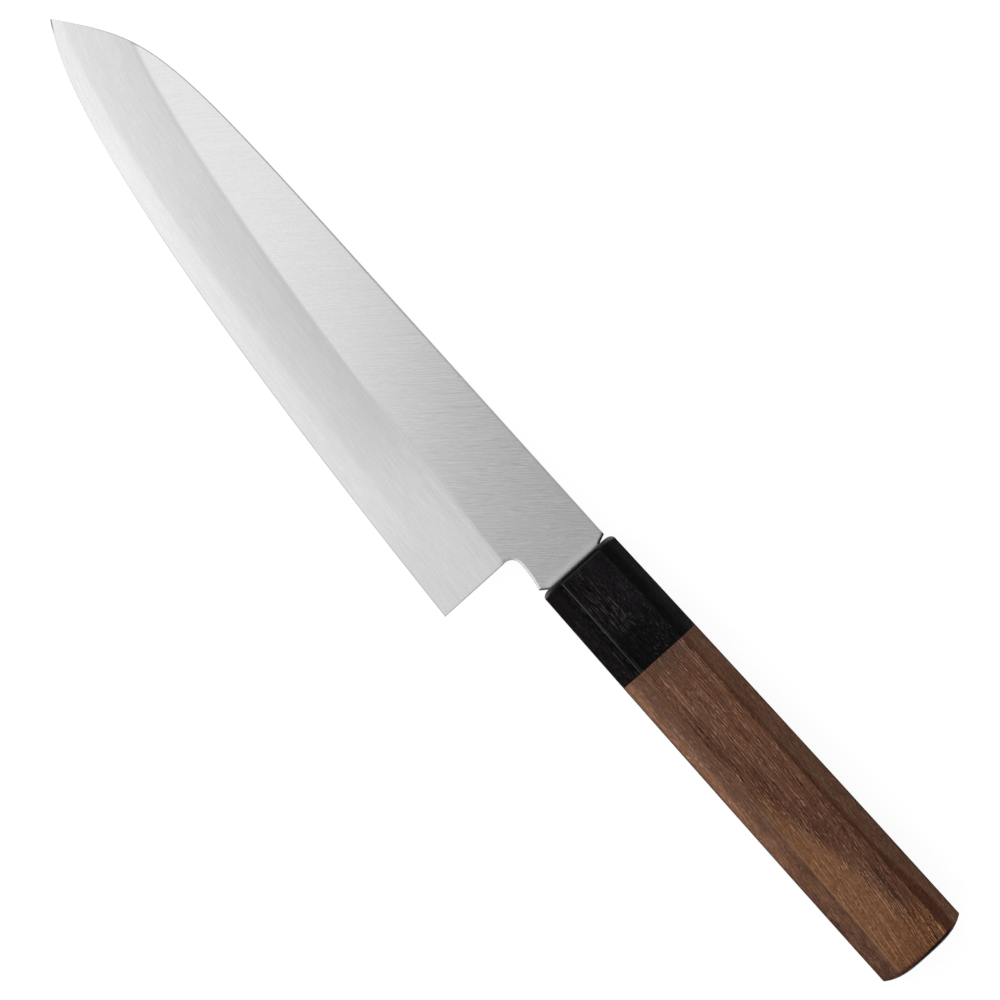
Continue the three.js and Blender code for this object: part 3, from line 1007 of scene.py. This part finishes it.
def ferrule_finish():
    paint = Paint("black_ferrule_wood")
    place = paint.place()
    x, y, z = paint.split(place)
    outward = abs(y)
    wide_side, _ = facing(paint)
    across = around(paint, y, z)
    speckle = paint.noise(paint.turned(place, (1500, 2700, 2700)), 2, 0.7)
    mottle = paint.noise(paint.turned(place, (160, 500, 500)), 3, 0.6)
    fleck = paint.noise(paint.turned(place, (900, 2300, 2300)), 0)
    ridge, groove = strokes(paint, across, ferrule_place, groove_pitch)
    _, furrow = strokes(paint, across, ferrule_place, furrow_pitch, 150)

    # Painted shade: the slanting sides are darkest beside their inner corners and lit towards their outer
    # ones. The wide side is darker at its back.
    to_spine = paint.mix(y.span(8.5, 11.5), spine_slant_shade, spine_slant_lit)
    to_edge = paint.mix(y.span(-6.8, -8.5), edge_slant_shade, edge_slant_lit)
    back = (x.span(14, 29, 0, 0.85) + x.span(18, 23, 0, 0.5) * y.span(4, 0)) * wide_side
    tone = paint.layered(to_spine, (y.span(1, -1), to_edge), (wide_side, black_face), (back, black_back))
    tone = paint.shaded(tone, (speckle, 0.7), (mottle, 0.3))

    # Open grooves and raised fibres lie along the edge half of the wide side, with pale flecks beyond them.
    grained = y.span(3, -0.5) * x.span(23, 18) * mottle.fade(0.36, 0.56, 0.25, 1) * wide_side
    by_corner = y.span(-11, -6.5, 0.35, 0.8) * y.span(-5, -6)
    faint = grained.or_larger(by_corner).or_larger(0.1)
    bright = x.span(5, 12, 0.4, 1) * y.span(-5, -2, 0.4, 1)
    furrowed = y.span(0.5, -2.5) * x.span(21, 13) * x.span(2, 4, 0, 0.9) * wide_side
    flecked = y.span(-2, 1) * x.span(7, 15, 0.12, 0.5) * fleck.fade(0.64, 0.78) * wide_side
    tone = paint.layered(tone, (groove * faint, open_groove), (ridge * faint * bright, raised_fibre),
                         (furrow * furrowed, deep_furrow), (flecked, pale_fleck))

    # The front is rounded over. Its turn gets a painted highlight, most at the outer corners, and painted
    # blade shadow.
    behind_front = x - ferrule_start
    past_start = behind_front - outward.span(7, 10, 0.65 * mm, -0.2 * mm)
    turn_width = outward.span(6.5, 8.5, 1.05 * mm, 0.65 * mm) + outward.span(9.5, 11.5, 0, 0.4 * mm)
    past_end = behind_front - turn_width
    turn_highlight_strength = outward.span(7, 6, 0, 0.45).or_larger(outward.span(8, 9.3, 0.12, 1))
    turn_highlight = past_start.span(0, 0.3) * past_end.span(0, 0.4, 1, 0) * turn_highlight_strength
    turn_highlight_tone = paint.mix(outward.span(9, 11.3), turn_highlight_grey, corner_turn_highlight)
    shadow = behind_front.span(0.2, 0.6, 0.95, 0) * outward.span(8, 10, 1, 0)
    # A painted highlight runs along the corners, most on the edge side.
    corner = corner_line(paint, 40) * y.span(2, -3, 0.05, 0.9) * x.span(12, 31, 1, 0.5)
    corner = corner * behind_front.span(1, 1.5)
    tone = paint.layered(tone, (turn_highlight, turn_highlight_tone), (shadow, blade_shadow), (corner, corner_sheen))
    paint.set(Base_Color=tone, Roughness=speckle.roughness(0.36, 0.5), Specular_IOR_Level=0.03,
              Normal=paint.bump(ridge * grained, 0.3, 0.04 * mm))
    return paint.material


socket_depth = 18 * mm
socket_radius = 8.3 * mm
slot_height = 10.8 * mm
slot_width = 3.0 * mm
overlap = 1 * mm
ferrule_graph, ferrule_given, ferrule_block = octagonal_length("octagonal_ferrule")
socket_bar = round_bar(ferrule_graph, socket_radius, ferrule_length - socket_depth, ferrule_length + overlap)
slot_length = ferrule_length - socket_depth + 2 * overlap
slot_bar = ferrule_graph.node("GeometryNodeMeshCube", {"Size": (slot_length, slot_height, slot_width)})
slot_bar = ferrule_graph.node("GeometryNodeTransform", {
    "Geometry": slot_bar, "Translation": (slot_length / 2 - overlap, 0, 0)})
hollow = boolean(ferrule_graph, "DIFFERENCE", ferrule_block, socket_bar)
hollow = boolean(ferrule_graph, "DIFFERENCE", hollow, slot_bar)
finish_tree(ferrule_graph, ferrule_given, hollow)
joint_round = 0.12 * mm
ferrule_values = {
    "Start": ferrule_start,
    "End": ferrule_length,
    "Front Round": 1.4 * mm,
    "Front Inset": 2.3 * mm,
    "Back Round": joint_round,
    "Crown": 0.0,
    "Crown Ease": 0.0,
    "Place": tuple(knife_place),
    "Material": ferrule_finish(),
}
ferrule = grown("octagonal_ferrule", ferrule_graph.tree, octagon_sizes | ferrule_values)
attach(ferrule, "root")
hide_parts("ferrule")

# Handle body
# A length of oiled walnut, planed to the same eight sides and swelling towards its crowned butt. A round
# tenon on its front sits in the ferrule, and the tang is set in resin in the bore down its middle.
grain_bow = 0.75
fibre_pitch = 0.58 * mm
ring_x = 77 * mm
ring_slope = 0.14
ring_lean = 0.3
vein_x = 108 * mm
vein_slope = 0.06
streak_slope = 0.003
body_end = handle_length - planed_away
crown_fall = 2.6 * mm
crown_ease = 0.7 * mm


def grain_place(paint, along_scale, across_scale):
    """Pattern place along the walnut's fibres, which start straight and lean over towards the butt."""
    x, y, z = paint.split(paint.place())
    behind = x - ferrule_length
    across = y + behind * behind * grain_bow
    return paint.join(x * along_scale, across * across_scale, z * across_scale)


def before_end(paint):
    """Distance from a place to the rim of the crowned butt, measured along the handle."""
    x, y, z = paint.split(paint.place())
    fallen = (abs(y) * (2 / octagon_sizes["Butt Height"])) ** crown_power * crown_fall
    eased = (abs(z) * (2 / octagon_sizes["Butt Thickness"])) ** crown_power * crown_ease
    return body_end - fallen - eased - x


heartwood = tint(0.115, 0.0475, 0.0265)
light_heartwood = tint(0.146, 0.0675, 0.0385)
front_brown = tint(0.090, 0.047, 0.032)
ring_brown = tint(0.078, 0.0315, 0.0185)
spine_brown = tint(0.075, 0.029, 0.0165)
vein_brown = tint(0.040, 0.018, 0.0125)
gold_brown = tint(0.222, 0.100, 0.0475)
butt_brown = tint(0.130, 0.0475, 0.0185)
spine_slant_shade_brown = tint(0.104, 0.046, 0.0255)
spine_slant_pale = tint(0.155, 0.081, 0.050)
edge_slant_lit_pale = tint(0.153, 0.077, 0.050)
edge_slant_rim_highlight = tint(0.280, 0.138, 0.083)
edge_slant_brown = tint(0.092, 0.041, 0.025)
edge_slant_light = tint(0.170, 0.080, 0.049)
streak_red = tint(0.062, 0.0185, 0.0088)
pore_factor = tint(0.37, 0.33, 0.31)
fibre_factor = tint(2.5, 2.95, 3.35)
butt_fibre_factor = tint(3.0, 3.5, 3.3)
corner_highlight_tone = tint(0.270, 0.145, 0.080)
outer_corner_shade_tone = tint(0.030, 0.011, 0.006)
end_dark = tint(0.018, 0.008, 0.005)
end_light = tint(0.05, 0.025, 0.016)
rim_darkness = tint(0.006, 0.003, 0.0025)


def walnut_grain(paint, mottle):
    """Tone of the planed walnut without its fibres, and how far a place lies in the golden band."""
    x, y, z = paint.split(paint.place())
    wide_side, _ = facing(paint)
    slanting_side = 1 - wide_side
    streaks = paint.pattern(grain_place, 26, 520, 4, 0.65)

    # A growth ring's border slants from the edge side behind the ferrule to the spine side at the butt.
    drift = paint.pattern(grain_place, 16, 70)
    ring = y - (x - ring_x) * ring_slope + z * ring_lean + drift.swing(4 * mm)
    ring = ring - x.span(70, 118, 1.2 * mm, 3.0 * mm) + x.span(108, 134, 0, 2.5 * mm)
    dark_band = ring.window(-3, -0.8, 1.0, 3.5) * x.span(38, 52) * x.span(92, 106, 1, 0.2) * 0.6
    gold_band = ring.window(-17, -12, -4.5, -1.5) * x.span(72, 95)

    # The wood is greyer by the ferrule, shaded and veined on the spine side, golden past the ring and red by
    # the butt.
    by_ferrule = x.span(33, 40, 0.7, 0) * y.span(-4, -1, 0.4, 1)
    spine_shade = y.span(1.5, 5.5, 0, 0.65) * x.span(64, 100) * x.span(122, 130, 1, 0.25)
    vein_y = y + (x - vein_x) * vein_slope + streaks.swing(1.2 * mm)
    vein = vein_y.window(3.7, 4.5, 4.6, 5.2) * x.span(104, 110, 0, 0.7) * x.span(122, 127, 1, 0)
    gold = gold_band * x.span(124, 134, 0.75, 0.5)
    tone = paint.mix(streaks.fade(0.36, 0.64), heartwood, light_heartwood)
    reddish = x.span(112, 132, 0, 0.55)
    tone = paint.layered(tone, (by_ferrule, front_brown), (dark_band, ring_brown))
    tone = paint.layered(tone, (spine_shade, spine_brown), (vein, vein_brown))
    tone = paint.layered(tone, (gold, gold_brown), (reddish, butt_brown))

    # The slanting sides show the grain more softly. Painted shade greys and darkens them by the spine;
    # painted light pales them by the edge.
    spine_side = slanting_side * y.span(6, 9.5, 0, 0.8)
    edge_side = slanting_side * y.span(-6, -8, 0, 0.85)
    pale = paint.mix(y.span(-8.5, -11.5), edge_slant_lit_pale, edge_slant_rim_highlight)
    deep = paint.mix(mottle.fade(0.35, 0.65), edge_slant_brown, edge_slant_light)
    tone = paint.layered(tone, (spine_side, paint.mix(mottle, spine_slant_shade_brown, spine_slant_pale)),
                         (edge_side, paint.mix(x.span(62, 116), pale, deep)))

    # A dark red streak follows the corner on the spine side and widens towards the butt.
    streak_low = y - (x - ferrule_length) * streak_slope
    streak_high = y - x.span(96, 126, 0, 1.9 * mm)
    red_streak = streak_low.span(6.9, 7.5) * streak_high.span(7.9, 8.8, 1, 0) * x.span(40, 125, 0.4, 0.75)
    tone = paint.mix(red_streak, tone, streak_red)
    return paint.shaded(tone, (mottle, 0.12)), gold_band


def walnut_fibres(paint, tone, gold_band):
    """The tone with light fibres and dark pores in short thin strokes, and how far these stand up."""
    x, y, z = paint.split(paint.place())
    wide_side, _ = facing(paint)
    _, bowed, _ = paint.split(grain_place(paint, 1, 1))
    light, dark = strokes(paint, around(paint, bowed, z), grain_place, fibre_pitch, 820)
    long_fibre = paint.pattern(grain_place, 55, 2200, 1, 0.6)
    speckle = paint.pattern(grain_place, 1200, 2600, 1)
    clusters = paint.pattern(grain_place, 190, 480, 1)
    by_butt = x.span(116, 127) * y.span(0, 3) * wide_side

    # There are fewer strokes on the slanting sides, in the golden band and by the ferrule.
    drawn = between(0.4, 1.0, wide_side) * between(1.0, 0.45, gold_band) * x.span(36, 60, 0.68, 1)
    drawn = drawn * clusters.fade(0.4, 0.56, 0.35, 1.2) + by_butt * 0.4
    light = light * drawn
    dark = dark * drawn
    long_light = long_fibre.fade(0.58, 0.70, 0, 0.5) * between(0.5, 1.0, wide_side)
    tone = paint.mix(dark, tone, paint.multiplied(tone, pore_factor))
    lift = paint.mix(by_butt, fibre_factor, butt_fibre_factor)
    tone = paint.mix(light.or_larger(long_light), tone, paint.multiplied(tone, lift))
    return paint.shaded(tone, (speckle, 0.25)), light - dark


def walnut_ends(paint, tone, mottle):
    """The tone with a painted highlight on the inner corner, painted shade on the outer ones, and the butt's
    end grain and dark rim.
    """
    x, y, z = paint.split(paint.place())
    _, end_grain = facing(paint)
    # Painted highlight along the edge side's inner corner, and painted shade along the outer corners.
    inner_corner_highlight = corner_line(paint, 20) * x.span(68, 115, 0.25, 0.75) * y.span(-4, -6) * y.span(-10, -9)
    outer_corner_shade = corner_line(paint, 6) * abs(y).span(9.5, 11, 0, 0.75)
    tone = paint.layered(tone, (inner_corner_highlight, corner_highlight_tone), (outer_corner_shade, outer_corner_shade_tone),
                         (end_grain * 0.85, paint.mix(mottle, end_dark, end_light)))

    # The butt's rim is dark: in a band that is wider by the spine, and darker further in by the edge.
    to_end = before_end(paint)
    rim_width = y.span(-9, 4, 0.3 * mm, 0.9 * mm)
    rim = (rim_width - to_end).span(0, 0.4, 0, 0.96) * y.span(7.5, 9.3, 1, 0)
    darker_inward = to_end.span(1.6, 0.2, 0, 0.75) * y.span(1, -3) * y.span(-10.5, -8, 0.3, 1)
    on_face = end_grain * abs(z).span(9.9, 8.9)
    return paint.mix(rim.or_larger(darker_inward) * (1 - on_face), tone, rim_darkness)


def walnut_finish():
    paint = Paint("oiled_walnut")
    mottle = paint.pattern(grain_place, 150, 420, 3, 0.6)
    tone, gold_band = walnut_grain(paint, mottle)
    tone, raised = walnut_fibres(paint, tone, gold_band)
    tone = walnut_ends(paint, tone, mottle)
    paint.set(Base_Color=tone, Roughness=mottle.roughness(0.42, 0.56), Specular_IOR_Level=0.05,
              Normal=paint.bump(raised, 0.2, 0.03 * mm))
    return paint.material


tenon_radius = 8 * mm
tenon_start = ferrule_length - socket_depth
bore_radius = 6 * mm
bore_end = 95 * mm
body_graph, body_given, body_block = octagonal_length("octagonal_handle_body")
tenon = round_bar(body_graph, tenon_radius, tenon_start, ferrule_length + overlap)
bore = round_bar(body_graph, bore_radius, tenon_start - overlap, bore_end)
body_shape = boolean(body_graph, "UNION", body_block, tenon)
body_shape = boolean(body_graph, "DIFFERENCE", body_shape, bore)
finish_tree(body_graph, body_given, body_shape)
body_values = {
    "Start": ferrule_length,
    "End": body_end,
    "Front Round": joint_round,
    "Front Inset": joint_round,
    "Back Round": 0.25 * mm,
    "Crown": crown_fall,
    "Crown Ease": crown_ease,
    "Place": tuple(knife_place),
    "Material": walnut_finish(),
}
handle_body = grown("octagonal_handle_body", body_graph.tree, octagon_sizes | body_values)
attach(handle_body, "root")
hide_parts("handle_body")

# Resin
# Amber resin cast round the tang inside the bore.
# It is hidden in the finished knife.
amber = tint(0.42, 0.27, 0.09)
pale_amber = tint(0.52, 0.37, 0.14)


def resin_finish():
    paint = Paint("cured_resin")
    bubbles = paint.noise(paint.turned(paint.place(), (900, 900, 900)), 2)
    tone = paint.mix(bubbles.fade(0.4, 0.7), amber, pale_amber)
    paint.set(Base_Color=tone, Roughness=bubbles.fade(0.3, 0.7, 0.25, 0.4))
    return paint.material


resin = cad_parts["tang_adhesive"]
resin.data.materials.clear()
resin.data.materials.append(resin_finish())

# Floor, light and camera
# A white table that takes the knife's shadow, one broad soft lamp over the tip's side, and a camera that
# looks straight down from far above.
table_half = 3
table_corners = [(-table_half, -table_half, 0), (table_half, -table_half, 0),
                 (table_half, table_half, 0), (-table_half, table_half, 0)]
table_white = 0.89
floor_mesh = bpy.data.meshes.new("table")
floor_mesh.from_pydata(table_corners, [], [(0, 1, 2, 3)])
floor = placed("table", floor_mesh)
table_paint = Paint("white_table")
seen = table_paint.node("ShaderNodeLightPath", {}, "Is Camera Ray")
for mirrored in ("Is Glossy Ray", "Is Transmission Ray"):
    seen = seen.or_larger(table_paint.node("ShaderNodeLightPath", {}, mirrored))
table_paint.set(Base_Color=grey(0.2), Roughness=0.9, Specular_IOR_Level=0.0, Emission_Color=grey(1),
                Emission_Strength=seen * table_white)
floor_mesh.materials.append(table_paint.material)

sky_strength = 0.55
world = bpy.data.worlds.new("studio")
bpy.context.scene.world = world
world.use_nodes = True
sky = world.node_tree.nodes["Background"].inputs
sky["Color"].default_value = grey(1)
sky["Strength"].default_value = sky_strength

view_turn = math.radians(47.99)
view_right = Vector((math.cos(view_turn), math.sin(view_turn), 0))
view_up = Vector((-math.sin(view_turn), math.cos(view_turn), 0))
photo_pixel = 0.25334 * mm
photo_width = 1000
view_width = photo_width * photo_pixel
view_shift = Vector((-24.6, -3.47, 0)) * mm
view_centre = Vector(knife_place) + view_shift


def soft_lamp(name, right, up, height, width, length, level):
    """A level softbox, placed as the picture shows it, that looks as bright as a surface of that level."""
    light = bpy.data.lights.new(name, "AREA")
    light.shape = "RECTANGLE"
    light.size = width
    light.size_y = length
    light.energy = level * math.pi * width * length
    lamp = placed(name, light)
    lamp.location = view_centre + right * view_right + up * view_up + Vector((0, 0, height))
    lamp.rotation_euler = (0, 0, view_turn)
    lamp.visible_camera = False


soft_lamp("broad_lamp", right=-0.545, up=0.0, height=0.7, width=1.0, length=1.6, level=0.98)

lens = 300
sensor = 36
view_reach = 20
camera_data = bpy.data.cameras.new("camera")
camera_data.lens = lens
camera_data.sensor_width = sensor
camera_data.clip_end = view_reach
camera = placed("camera", camera_data)
camera.location = view_centre + Vector((0, 0, view_width * lens / sensor))
camera.rotation_euler = (0, 0, view_turn)
bpy.context.scene.camera = camera
bpy.context.scene.view_settings.view_transform = "Standard"
